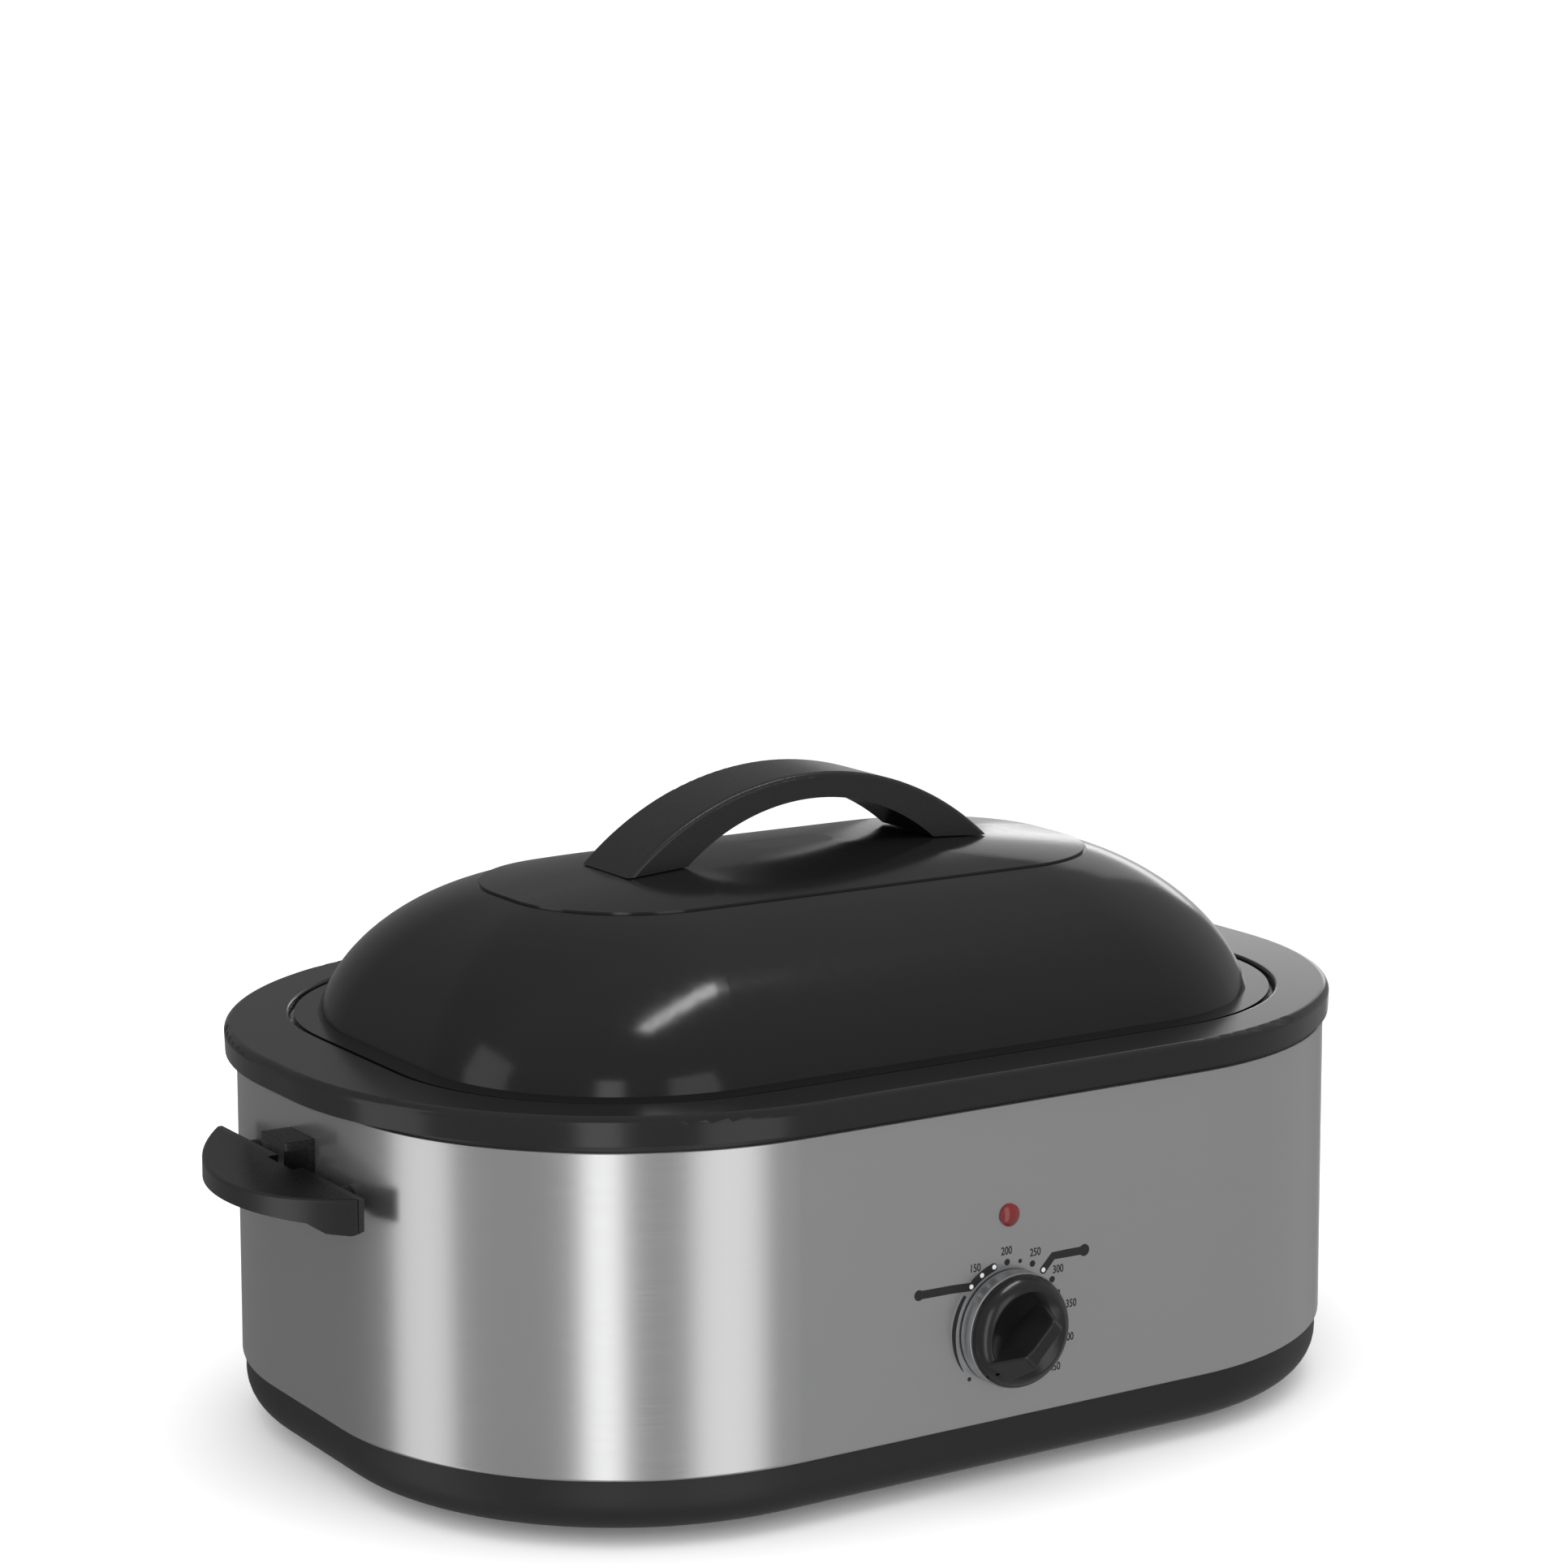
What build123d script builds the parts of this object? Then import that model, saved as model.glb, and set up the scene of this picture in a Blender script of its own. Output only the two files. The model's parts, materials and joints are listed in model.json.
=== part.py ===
from build123d import *
from math import cos, radians, sin, sqrt, tan
import os

# Electric roaster oven. Millimetres, +Z up, the worktop is z = 0.
# X runs along the length, the dial faces -Y, and the origin is under the middle of the body.
# An oval plan is (length, width, corner radius). Heights are absolute.

os.makedirs("parts", exist_ok=True)

# ---- body shell ----
body_length = 500.0
body_width = 356.0
body_corner = 143.0
foot_height = 5.0
tray_height = 25.0
wrap_sheet = 0.7
wrap_flange = 6.0
wrap_bend = 1.6
seat_gap = 0.2

# ---- base tray ----
tray_inset = 1.6
tray_wall = 3.0
tray_bottom_radius = 17.0
tray_shelf = 3.0
tray_lip_height = 5.0
tray_lip_wall = 2.0
lip_play = 0.3
slot_length = 46.0
slot_width = 4.0
slot_pitch = 9.0
slot_rows = 7

# ---- feet and fasteners ----
foot_radius = 11.0
foot_x = 152.0
foot_y = 120.0
foot_edge = 1.2
foot_web = 2.0
pillar_radius = 7.0
screw_radius = 2.0
screw_head_radius = 3.8
screw_head_height = 2.2
screw_play = 0.1
base_screw_length = 20.0
nut_radius = 4.0
nut_height = 3.2
nut_play = 0.3
stud_head_radius = 8.0
stud_head = 1.2

# ---- rim trim and well liner ----
trim_height = 5.6
trim_reveal = 0.4
trim_flare = 0.6
trim_edge = 1.2
trim_lip = 2.0
trim_lip_depth = 6.0
liner_sheet = 1.0
liner_inset = 1.8
liner_stand = 8.0
liner_flange = 18.2
liner_drop = 6.7
liner_drop_run = 2.6
liner_slope_run = 12.4
liner_draft_run = 4.0
liner_floor = 33.0
liner_floor_gap = 4.0
liner_edge = 2.2
liner_shoulder_radius = 6.0
liner_floor_radius = 24.0
liner_floor_margin = 8.0

# ---- pan ----
pan_sheet = 1.0
pan_depth = 149.0
pan_recess_depth = 5.0
pan_ledge = 14.0
pan_draft_run = 6.0
pan_floor_radius = 25.0
pan_floor_margin = 8.0
pan_skirt = 12.4
pan_skirt_tuck = 0.5
pan_skirt_land = 9.0
pan_recess_land = 6.0
pan_overhang_end = 14.4
pan_overhang_side = 7.3
pan_flange_corner = 168.0
pan_rim_radius = 3.5
pan_edge = 1.6
recess_play_end = 6.0
recess_play_side = 3.5
recess_corner_play = 10.0

# ---- lid ----
lid_play = 2.5
lid_sheet = 0.9
lid_band_height = 3.0
lid_band_sheet = 0.8
lid_band_return = 3.0
lid_flange = 10.5
lid_panel_length = 300.0
lid_panel_width = 140.0
lid_panel_corner = 60.0
lid_panel_height = 65.0
lid_panel_step = 1.2
lid_crown = 9.8
dome_lean = 0.19
dome_fullness = 0.94
dome_sections = 7
crown_sections = 5
crown_flat = 0.15
lid_handle_width = 43.0
lid_handle_thickness = 11.8
lid_handle_gap = 23.1
lid_handle_outer_span = 196.0
lid_handle_inner_span = 134.0
lid_handle_edge = 2.4
lid_handle_seat = 0.35
lid_screw_depth = 8.0

# ---- rack ----
frame_wire = 2.5
rung_wire = 2.2
rack_seat = 0.3
rack_length = 352.0
rack_width = 222.8
rack_corner = 12.0
rack_step = 13.4
rack_leg_margin = 26.0
rack_leg_run = 50.0
rack_leg_bend = 20.0
rung_count = 5
rung_pitch = 37.3
rung_end_gap = 0.2
dip_depth = 8.8
dip_shoulder = 18.0
dip_foot = 5.2
dip_bend = 2.5
dip_offset = -4.0
cross_inset = 6.0
cross_reach = 11.4
weld_gap = 0.05

# ---- rack handles ----
bail_span = 160.0
bail_hook_play = 0.4
bail_hook_wrap = 225.0
bail_rise = 10.0
bail_knee_reach = 39.6
bail_knee_bend = 6.0
bail_bar_reach = 114.7
bail_bar_rise = 5.8
bail_bar_length = 82.2
bail_bar_bend = 5.0

# ---- dial, knob and lamp ----
dial_height = 71.7
hole_play = 0.3
knob_radius = 25.0
knob_gap = 0.8
knob_ring_height = 6.7
knob_ring_radius = 25.5
knob_ring_wall = 2.2
knob_spigot = 4.5
knob_spigot_wall = 1.6
knob_side = 1.0
knob_rim_height = 15.0
knob_rim_radius = 19.6
knob_rim_land = 0.6
knob_shoulder_radius = 9.0
knob_dish_depth = 5.0
knob_edge = 0.8
grip_height = 28.0
grip_width = 9.6
grip_taper = 4.5
grip_ridge_front = 11.2
grip_ridge_back = 9.5
grip_tail_width = 16.0
grip_tail_level = 9.2
grip_tail_margin = 0.4
grip_flare_start = 6.0
grip_foot_back = 16.5
grip_bend = 3.0
knob_hub_radius = 7.0
knob_socket = 10.0
knob_min_angle = -134.3
pointer_length = 6.5
pointer_width = 1.4
pointer_depth = 0.5
shaft_radius = 3.0
shaft_flat = 2.3
shaft_play = 0.05
shaft_depth = 7.0
bushing_radius = 4.5
bushing_stand = 0.4
thermostat_width = 36.0
thermostat_height = 40.0
thermostat_depth = 14.0
casing_gap = 0.4
lamp_height = 121.4
lens_radius = 5.0
lens_rim = 0.8
lens_dome = 1.6
lens_neck = 4.2
lens_depth = 3.0
lamp_wall = 2.0
lamp_depth = 13.0

# ---- side handles ----
handle_drop = 41.0
handle_height = 12.4
handle_slope_drop = 4.0
handle_length = 142.0
handle_reach = 29.0
handle_stand = 8.5
handle_plate = 3.2
handle_wall = 3.0
handle_edge = 1.6
handle_lug = 11.0
handle_lug_drop = 3.5
handle_lug_slope = 8.0
handle_lug_lift = 2.0
handle_lug_lift_run = 5.0
handle_end_groove = 1.0
handle_end_groove_depth = 0.7
handle_notch_depth = 5.0
handle_notch_rise = 6.0
handle_boss_radius = 5.0
handle_boss_y = 45.0
handle_boss_lift = 6.2
boss_screw_length = 9.0
hook_width = 24.8
hook_height = 24.2
hook_plate = 2.6
hook_cap = 3.6
hook_cap_reach = 13.5
hook_shelf_height = 5.5
hook_screw_y = 7.5
hook_screw_rise = 12.0
hook_screw_depth = 1.8

# ---- inside the casing ----
cord_turns = 5
cord_radius = 1.8
cord_pitch = 17.0
cord_first = 60.0
cord_gap = 0.3
blanket_thickness = 12.0
blanket_bottom = 46.0
blanket_drop = 23.0
shield_sheet = 0.6
shield_inset = 14.0
gland_x = 70.0
gland_height = 60.0
gland_bore = 3.7
gland_neck = 6.5
gland_flange = 10.0
gland_flange_height = 3.0
gland_depth = 6.0
gland_barb = 0.6
gland_barb_length = 2.0
terminal_x = 40.0
terminal_length = 28.0
terminal_height = 16.0
terminal_depth = 10.0
terminal_screws = 3

# ---- levels that follow ----
tray_bottom = foot_height
wrap_bottom = tray_bottom + tray_height
pillar_top = wrap_bottom - tray_shelf
pan_floor = liner_floor + liner_floor_gap + pan_sheet
pan_top = pan_floor + pan_depth - pan_sheet
pan_ledge_top = pan_top - pan_recess_depth
liner_top = pan_top - pan_sheet - seat_gap
trim_top = liner_top - liner_stand - seat_gap
wrap_top = trim_top - trim_height
lid_bottom = pan_ledge_top + seat_gap
lid_flange_bottom = lid_bottom + lid_band_height
rack_low = pan_floor + frame_wire / 2 + rack_seat
rack_high = rack_low + rack_step
rung_height = rack_high - (frame_wire + rung_wire) / 2 - weld_gap
handle_base = wrap_top - handle_drop
hook_screw_height = handle_base + hook_screw_rise
blanket_top = wrap_top - blanket_drop
lip_inset = wrap_flange + lip_play
front = -body_width / 2
back = body_width / 2
end = body_length / 2


# ---- plans ----
def inset(plan, amount):
    """The same oval, smaller all round by an amount, or larger where it is negative."""
    length, width, corner = plan
    return (length - 2 * amount, width - 2 * amount, corner - amount)


body = (body_length, body_width, body_corner)
liner_rim = inset(body, liner_inset)
liner_opening = inset(liner_rim, liner_flange)
recess = (
    liner_opening[0] - 2 * recess_play_end,
    liner_opening[1] - 2 * recess_play_side,
    liner_opening[2] - recess_corner_play,
)
pan_flange = (
    liner_rim[0] + 2 * pan_overhang_end,
    liner_rim[1] + 2 * pan_overhang_side,
    pan_flange_corner,
)
lid_rim = inset(recess, lid_play)
lid_base = inset(lid_rim, lid_flange)
lid_panel = (lid_panel_length, lid_panel_width, lid_panel_corner)


def outline(plan, height):
    """A flat oval at a height."""
    with BuildSketch(Plane.XY.offset(height)) as shape:
        RectangleRounded(*plan)
    return shape.sketch


def slab(plan, bottom, top, mode=Mode.ADD):
    """An upright oval block from one height to another."""
    extrude(outline(plan, bottom), amount=top - bottom, mode=mode)


def oval_path(plan, height=0.0):
    """The oval's outline, from the middle of its +X end and round to it again."""
    length, width, corner = plan
    end_x, side_y = length / 2, width / 2
    turn_x, turn_y = end_x - corner, side_y - corner
    with BuildLine(Plane.XY.offset(height)) as path:
        Line((end_x, 0), (end_x, turn_y))
        CenterArc((turn_x, turn_y), corner, 0, 90)
        Line((turn_x, side_y), (-turn_x, side_y))
        CenterArc((-turn_x, turn_y), corner, 90, 90)
        Line((-end_x, turn_y), (-end_x, -turn_y))
        CenterArc((-turn_x, -turn_y), corner, 180, 90)
        Line((-turn_x, -side_y), (turn_x, -side_y))
        CenterArc((turn_x, -turn_y), corner, 270, 90)
        Line((end_x, -turn_y), (end_x, 0))
    return path.wire()


def round_the_oval(plan, points):
    """A solid ring: a section given as (inset from the plan, height), taken round the oval."""
    half = plan[0] / 2
    with BuildSketch(Plane.XZ) as section:
        with BuildLine():
            Polyline(*[(half - step_in, height) for step_in, height in points], close=True)
        make_face()
    sweep(section.sketch, path=oval_path(plan))


def drawn_sheet(plan, points, radii, thickness):
    """Sheet metal drawn round the oval: its upper side bends at each (inset, height) point."""
    half = plan[0] / 2
    with BuildSketch(Plane.XZ) as section:
        with BuildLine():
            FilletPolyline(*[(half - step_in, height) for step_in, height in points], radius=radii)
            offset(amount=thickness, side=Side.LEFT)
        make_face()
    sweep(section.sketch, path=oval_path(plan))


def wire_along(path, wire):
    """A round wire along a path."""
    with BuildSketch(Plane(origin=path @ 0, z_dir=path % 0)) as section:
        Circle(wire / 2)
    sweep(section.sketch, path=path)


def finish(piece, name):
    """Label a finished piece and write it."""
    piece.part.label = name
    export_step(piece.part, f"parts/{name}.step")


# ================= casing =================

corner_spots = [(x, y) for x in (-foot_x, foot_x) for y in (-foot_y, foot_y)]
handle_boss_spots = [(y, handle_base + handle_boss_lift) for y in (-handle_boss_y, handle_boss_y)]
hook_screw_spots = [(y, hook_screw_height) for y in (-hook_screw_y, hook_screw_y)]
tray_plan = inset(body, tray_inset)
lip_plan = inset(body, wrap_flange + lip_play)
shield_plan = inset(lip_plan, shield_inset)
dial_plane = Plane(origin=(0, front, dial_height), x_dir=(1, 0, 0), z_dir=(0, -1, 0))
lamp_plane = Plane(origin=(0, front, lamp_height), x_dir=(1, 0, 0), z_dir=(0, -1, 0))
gland_plane = Plane(origin=(gland_x, back, gland_height), x_dir=(1, 0, 0), z_dir=(0, 1, 0))

with BuildPart() as base_tray:
    slab(tray_plan, tray_bottom, wrap_bottom)
    fillet(base_tray.faces().sort_by(Axis.Z)[0].edges(), tray_bottom_radius)
    offset(amount=-tray_wall, openings=base_tray.faces().sort_by(Axis.Z)[-1])
    # the shelf that the steel wrap stands on, and the lip that centres it
    slab(tray_plan, wrap_bottom - tray_shelf, wrap_bottom)
    slab(lip_plan, wrap_bottom, wrap_bottom + tray_lip_height)
    lip_top = wrap_bottom + tray_lip_height
    slab(inset(lip_plan, tray_lip_wall), wrap_bottom - tray_shelf, lip_top, Mode.SUBTRACT)
    # pillars over the feet and under the middle of the well
    with BuildSketch(Plane.XY.offset(tray_bottom)):
        with Locations(*corner_spots, (0, 0)):
            Circle(pillar_radius)
    extrude(amount=pillar_top - tray_bottom)
    with BuildSketch(Plane.XY.offset(tray_bottom)):
        with Locations(*corner_spots, (0, 0)):
            Circle(screw_radius + screw_play)
    extrude(amount=pillar_top - tray_bottom, mode=Mode.SUBTRACT)
    with BuildSketch(Plane.XY.offset(tray_bottom)):
        Circle(nut_radius + nut_play)
    extrude(amount=nut_height + 2 * seat_gap, mode=Mode.SUBTRACT)
    # air slots in two banks
    with BuildSketch(Plane.XY.offset(tray_bottom)):
        with Locations((-foot_x / 2, 0), (foot_x / 2, 0)):
            with GridLocations(slot_length, slot_pitch, 1, slot_rows):
                SlotOverall(slot_length, slot_width)
    extrude(amount=tray_wall, mode=Mode.SUBTRACT)
finish(base_tray, "base_tray")

with BuildPart() as feet:
    with BuildSketch(Plane.XY):
        with Locations(*corner_spots):
            Circle(foot_radius)
    extrude(amount=foot_height)
    fillet(feet.edges().group_by(Axis.Z)[0], foot_edge)
    with BuildSketch(Plane.XY):
        with Locations(*corner_spots):
            Circle(screw_radius + screw_play)
    extrude(amount=foot_height, mode=Mode.SUBTRACT)
    with BuildSketch(Plane.XY):
        with Locations(*corner_spots):
            Circle(screw_head_radius + screw_play)
    extrude(amount=foot_height - foot_web, mode=Mode.SUBTRACT)
finish(feet, "feet")

with BuildPart() as base_screws:
    with BuildSketch(Plane.XY.offset(foot_height - foot_web - seat_gap)):
        with Locations(*corner_spots):
            Circle(screw_head_radius)
    extrude(amount=-screw_head_height)
    with BuildSketch(Plane.XY.offset(foot_height - foot_web - seat_gap)):
        with Locations(*corner_spots):
            Circle(screw_radius)
    extrude(amount=base_screw_length)
finish(base_screws, "base_screws")

with BuildPart() as heat_shield:
    slab(shield_plan, pillar_top + seat_gap, pillar_top + seat_gap + shield_sheet)
    with BuildSketch(Plane.XY.offset(pillar_top + seat_gap)):
        Circle(screw_radius + screw_play)
    extrude(amount=shield_sheet, mode=Mode.SUBTRACT)
finish(heat_shield, "heat_shield")

with BuildPart() as tie_stud:
    with BuildSketch(Plane.XY.offset(liner_floor - liner_sheet - seat_gap)):
        Circle(stud_head_radius)
    extrude(amount=-stud_head)
    with BuildSketch(Plane.XY.offset(liner_floor - liner_sheet - seat_gap)):
        Circle(screw_radius)
    extrude(amount=-(liner_floor - liner_sheet - seat_gap - tray_bottom))
finish(tie_stud, "tie_stud")

with BuildPart() as tie_nut:
    with BuildSketch(Plane.XY.offset(tray_bottom + seat_gap)):
        RegularPolygon(nut_radius, 6)
        Circle(screw_radius + screw_play, mode=Mode.SUBTRACT)
    extrude(amount=nut_height)
finish(tie_nut, "tie_nut")

with BuildPart() as steel_wrap:
    bend = (wrap_bend, wrap_bend)
    turns = [(wrap_flange, wrap_bottom), (0, wrap_bottom), (0, wrap_top), (wrap_flange, wrap_top)]
    drawn_sheet(body, turns, bend, wrap_sheet)
    with BuildSketch(dial_plane):
        Circle(bushing_radius + hole_play)
        with Locations((0, lamp_height - dial_height)):
            Circle(lens_neck + hole_play)
    extrude(amount=-2 * wrap_sheet, mode=Mode.SUBTRACT)
    with BuildSketch(gland_plane):
        Circle(gland_neck + hole_play)
    extrude(amount=-2 * wrap_sheet, mode=Mode.SUBTRACT)
    with BuildSketch(Plane.YZ):
        with Locations(*handle_boss_spots, *hook_screw_spots):
            Circle(screw_radius + screw_play)
    extrude(amount=end, both=True, mode=Mode.SUBTRACT)
finish(steel_wrap, "steel_wrap")

with BuildPart() as rim_trim:
    round_the_oval(
        body,
        [
            (trim_reveal + trim_flare, wrap_top),
            (trim_reveal, trim_top - trim_edge),
            (trim_reveal + trim_edge, trim_top),
            (lip_inset + trim_lip, trim_top),
            (lip_inset + trim_lip, wrap_top - trim_lip_depth),
            (lip_inset, wrap_top - trim_lip_depth),
            (lip_inset, wrap_top),
        ],
    )
finish(rim_trim, "rim_trim")

# ================= well =================

well_top = liner_flange + liner_drop_run + liner_slope_run
well_shoulder = liner_top - 2 * liner_drop
well_foot = well_top + liner_draft_run
well_middle = well_foot + liner_floor_radius + liner_floor_margin


def well_inset(height):
    """How far the outside of the well's wall lies in from the rim at a height."""
    share = (well_shoulder - height) / (well_shoulder - liner_floor)
    return well_top + share * liner_draft_run - liner_sheet


with BuildPart() as well_liner:
    drawn_sheet(
        liner_rim,
        [
            (0, trim_top + seat_gap),
            (0, liner_top),
            (liner_flange, liner_top),
            (liner_flange + liner_drop_run, liner_top - liner_drop),
            (well_top, well_shoulder),
            (well_foot, liner_floor),
            (well_middle, liner_floor),
        ],
        (liner_edge, liner_edge, liner_edge, liner_shoulder_radius, liner_floor_radius),
        liner_sheet,
    )
    slab(inset(liner_rim, well_middle), liner_floor - liner_sheet, liner_floor)
finish(well_liner, "well_liner")

with BuildPart() as heating_cord:
    for turn in range(cord_turns):
        cord_height = cord_first + turn * cord_pitch
        cord_plan = inset(liner_rim, well_inset(cord_height) - cord_gap - cord_radius)
        wire_along(oval_path(cord_plan, cord_height), 2 * cord_radius)
finish(heating_cord, "heating_cord")

blanket_inner = inset(liner_rim, well_inset(blanket_top) - 2 * (cord_gap + cord_radius))
blanket_outer = inset(blanket_inner, -blanket_thickness)

with BuildPart() as insulation_blanket:
    slab(blanket_outer, blanket_bottom, blanket_top)
    slab(blanket_inner, blanket_bottom, blanket_top, Mode.SUBTRACT)
finish(insulation_blanket, "insulation_blanket")

# ================= pan =================

pan_foot = pan_ledge + pan_draft_run
pan_middle = pan_foot + pan_floor_radius + pan_floor_margin

with BuildPart() as roasting_pan:
    # the skirt that hangs over the rim
    drawn_sheet(
        pan_flange,
        [(pan_skirt_tuck, pan_top - pan_skirt), (0, pan_top), (pan_skirt_land, pan_top)],
        (pan_rim_radius,),
        pan_sheet,
    )
    slab(inset(pan_flange, pan_skirt_land), pan_top - pan_sheet, pan_top)
    slab(inset(recess, -pan_recess_land), pan_top - pan_sheet, pan_top, Mode.SUBTRACT)
    # the recess that the lid sits in, its ledge, and the pan itself
    drawn_sheet(
        recess,
        [
            (-pan_recess_land, pan_top),
            (0, pan_top),
            (0, pan_ledge_top),
            (pan_ledge, pan_ledge_top),
            (pan_foot, pan_floor),
            (pan_middle, pan_floor),
        ],
        (pan_edge, pan_edge, pan_edge, pan_floor_radius),
        pan_sheet,
    )
    slab(inset(recess, pan_middle), pan_floor - pan_sheet, pan_floor)
finish(roasting_pan, "roasting_pan")

# ================= lid =================

lid_panel_base = lid_bottom + lid_panel_height
lid_crown_base = lid_panel_base + lid_panel_step
crown_plan = inset(lid_panel, lid_panel_step)
handle_foot_x = (lid_handle_outer_span + lid_handle_inner_span) / 4


def dome_share(rise):
    """How much of the way from the lid's base to its panel the dome has come in, at a rise."""
    return (dome_lean * rise + 1 - sqrt(1 - (dome_fullness * rise) ** 2)) / (
        dome_lean + 1 - sqrt(1 - dome_fullness**2)
    )


def crown_top(reach):
    """Height of the crown's top at a share of the way from its middle to its edge."""
    return lid_crown_base + lid_crown * (1 - reach**2)


def lid_block(wall, mode=Mode.ADD):
    """The dome and its crown as a block, drawn in by a wall."""
    dome, crown = [], []
    for step in range(dome_sections):
        rise = step / (dome_sections - 1)
        share = dome_share(rise)
        plan = tuple(low + (high - low) * share for low, high in zip(lid_base, lid_panel))
        height = lid_flange_bottom + (lid_panel_base - lid_flange_bottom) * rise
        dome.append(outline(inset(plan, wall), height - wall))
    for step in range(crown_sections):
        reach = 1 - (1 - crown_flat) * step / (crown_sections - 1)
        plan = tuple(size * reach for size in inset(crown_plan, wall))
        crown.append(outline(plan, crown_top(reach) - wall))
    loft(dome, mode=mode)
    slab(inset(crown_plan, wall), lid_panel_base - wall, lid_crown_base - wall, mode)
    loft(crown, mode=mode)


with BuildPart() as lid_shell:
    slab(lid_rim, lid_flange_bottom, lid_flange_bottom + lid_sheet)
    lid_block(0)
    lid_block(lid_sheet, Mode.SUBTRACT)
    with BuildSketch(Plane.XY.offset(lid_panel_base)):
        with Locations((-handle_foot_x, 0), (handle_foot_x, 0)):
            Circle(screw_radius + screw_play)
    extrude(amount=lid_crown, mode=Mode.SUBTRACT)
finish(lid_shell, "lid_shell")

with BuildPart() as lid_rim_band:
    round_the_oval(
        lid_rim,
        [
            (0, lid_bottom),
            (lid_band_return, lid_bottom),
            (lid_band_return, lid_bottom + lid_band_sheet),
            (lid_band_sheet, lid_bottom + lid_band_sheet),
            (lid_band_sheet, lid_flange_bottom),
            (0, lid_flange_bottom),
        ],
    )
finish(lid_rim_band, "lid_rim_band")

lid_middle = lid_crown_base + lid_crown
handle_feet = [
    (span / 2, crown_top(span / crown_plan[0]) + lid_handle_seat)
    for span in (lid_handle_outer_span, lid_handle_inner_span)
]
foot_screw_top = crown_top(2 * handle_foot_x / crown_plan[0])

with BuildPart() as lid_handle:
    with BuildSketch(Plane.XZ):
        with BuildLine():
            (outer_x, outer_z), (inner_x, inner_z) = handle_feet
            arch_top = lid_middle + lid_handle_gap
            arch_back = arch_top + lid_handle_thickness
            ThreePointArc((-outer_x, outer_z), (0, arch_back), (outer_x, outer_z))
            Line((outer_x, outer_z), (inner_x, inner_z))
            ThreePointArc((inner_x, inner_z), (0, arch_top), (-inner_x, inner_z))
            Line((-inner_x, inner_z), (-outer_x, outer_z))
        make_face()
    extrude(amount=lid_handle_width / 2, both=True)
    fillet(lid_handle.edges().filter_by(GeomType.CIRCLE).group_by(SortBy.RADIUS)[-1], lid_handle_edge)
    with BuildSketch(Plane.XY.offset(lid_panel_base)):
        with Locations((-handle_foot_x, 0), (handle_foot_x, 0)):
            Circle(screw_radius + screw_play)
    extrude(amount=foot_screw_top + lid_screw_depth - lid_panel_base, mode=Mode.SUBTRACT)
finish(lid_handle, "lid_handle")

lid_screw_seat = crown_top(2 * (handle_foot_x + screw_head_radius) / crown_plan[0]) - lid_sheet - seat_gap

with BuildPart() as lid_handle_screws:
    with BuildSketch(Plane.XY.offset(lid_screw_seat)):
        with Locations((-handle_foot_x, 0), (handle_foot_x, 0)):
            Circle(screw_head_radius)
    extrude(amount=-screw_head_height)
    with BuildSketch(Plane.XY.offset(lid_screw_seat)):
        with Locations((-handle_foot_x, 0), (handle_foot_x, 0)):
            Circle(screw_radius)
    extrude(amount=foot_screw_top + lid_screw_depth - seat_gap - lid_screw_seat)
finish(lid_handle_screws, "lid_handle_screws")

# ================= rack =================

rack_end = rack_length / 2
rack_side = rack_width / 2
leg_top = rack_end - rack_leg_margin
leg_foot = leg_top - rack_leg_run

with BuildPart() as rack_frame:
    near = [
        (rack_end, rack_side, rack_high),
        (leg_top, rack_side, rack_high),
        (leg_foot, rack_side, rack_low),
        (-leg_foot, rack_side, rack_low),
        (-leg_top, rack_side, rack_high),
        (-rack_end, rack_side, rack_high),
    ]
    far = [(x, -y, z) for x, y, z in reversed(near)]
    leg_bends = (rack_corner, *[rack_leg_bend] * 4, rack_corner)
    with BuildLine() as loop:
        FilletPolyline(*near, *far, radius=leg_bends * 2, close=True)
    wire_along(loop.wire(), frame_wire)
finish(rack_frame, "rack_frame")

with BuildPart() as rack_long_wires:
    reach = rack_end - rung_end_gap
    for rung in range(rung_count):
        rung_y = (rung - (rung_count - 1) / 2) * rung_pitch
        with BuildLine(Plane.XZ.offset(-rung_y)) as line:
            FilletPolyline(
                (-reach, rung_height),
                (dip_offset - dip_shoulder / 2, rung_height),
                (dip_offset - dip_foot / 2, rung_height - dip_depth),
                (dip_offset + dip_foot / 2, rung_height - dip_depth),
                (dip_offset + dip_shoulder / 2, rung_height),
                (reach, rung_height),
                radius=dip_bend,
            )
        wire_along(line.wire(), rung_wire)
finish(rack_long_wires, "rack_long_wires")

with BuildPart() as rack_cross_wires:
    cross_half = (rung_count - 1) / 2 * rung_pitch + cross_reach
    cross_x = rack_end - cross_inset
    cross_height = rung_height - rung_wire - weld_gap
    with BuildSketch(Plane.XZ.offset(-cross_half)):
        with Locations((-cross_x, cross_height), (cross_x, cross_height)):
            Circle(rung_wire / 2)
    extrude(amount=2 * cross_half)
finish(rack_cross_wires, "rack_cross_wires")

eye_radius = frame_wire + bail_hook_play
eye_end = 90 - bail_rise
eye_start = eye_end - bail_hook_wrap


def eye_point(angle, y):
    """A point of the open eye round the frame's end wire."""
    turn = radians(angle)
    return (rack_end + eye_radius * cos(turn), y, rack_high + eye_radius * sin(turn))


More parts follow.
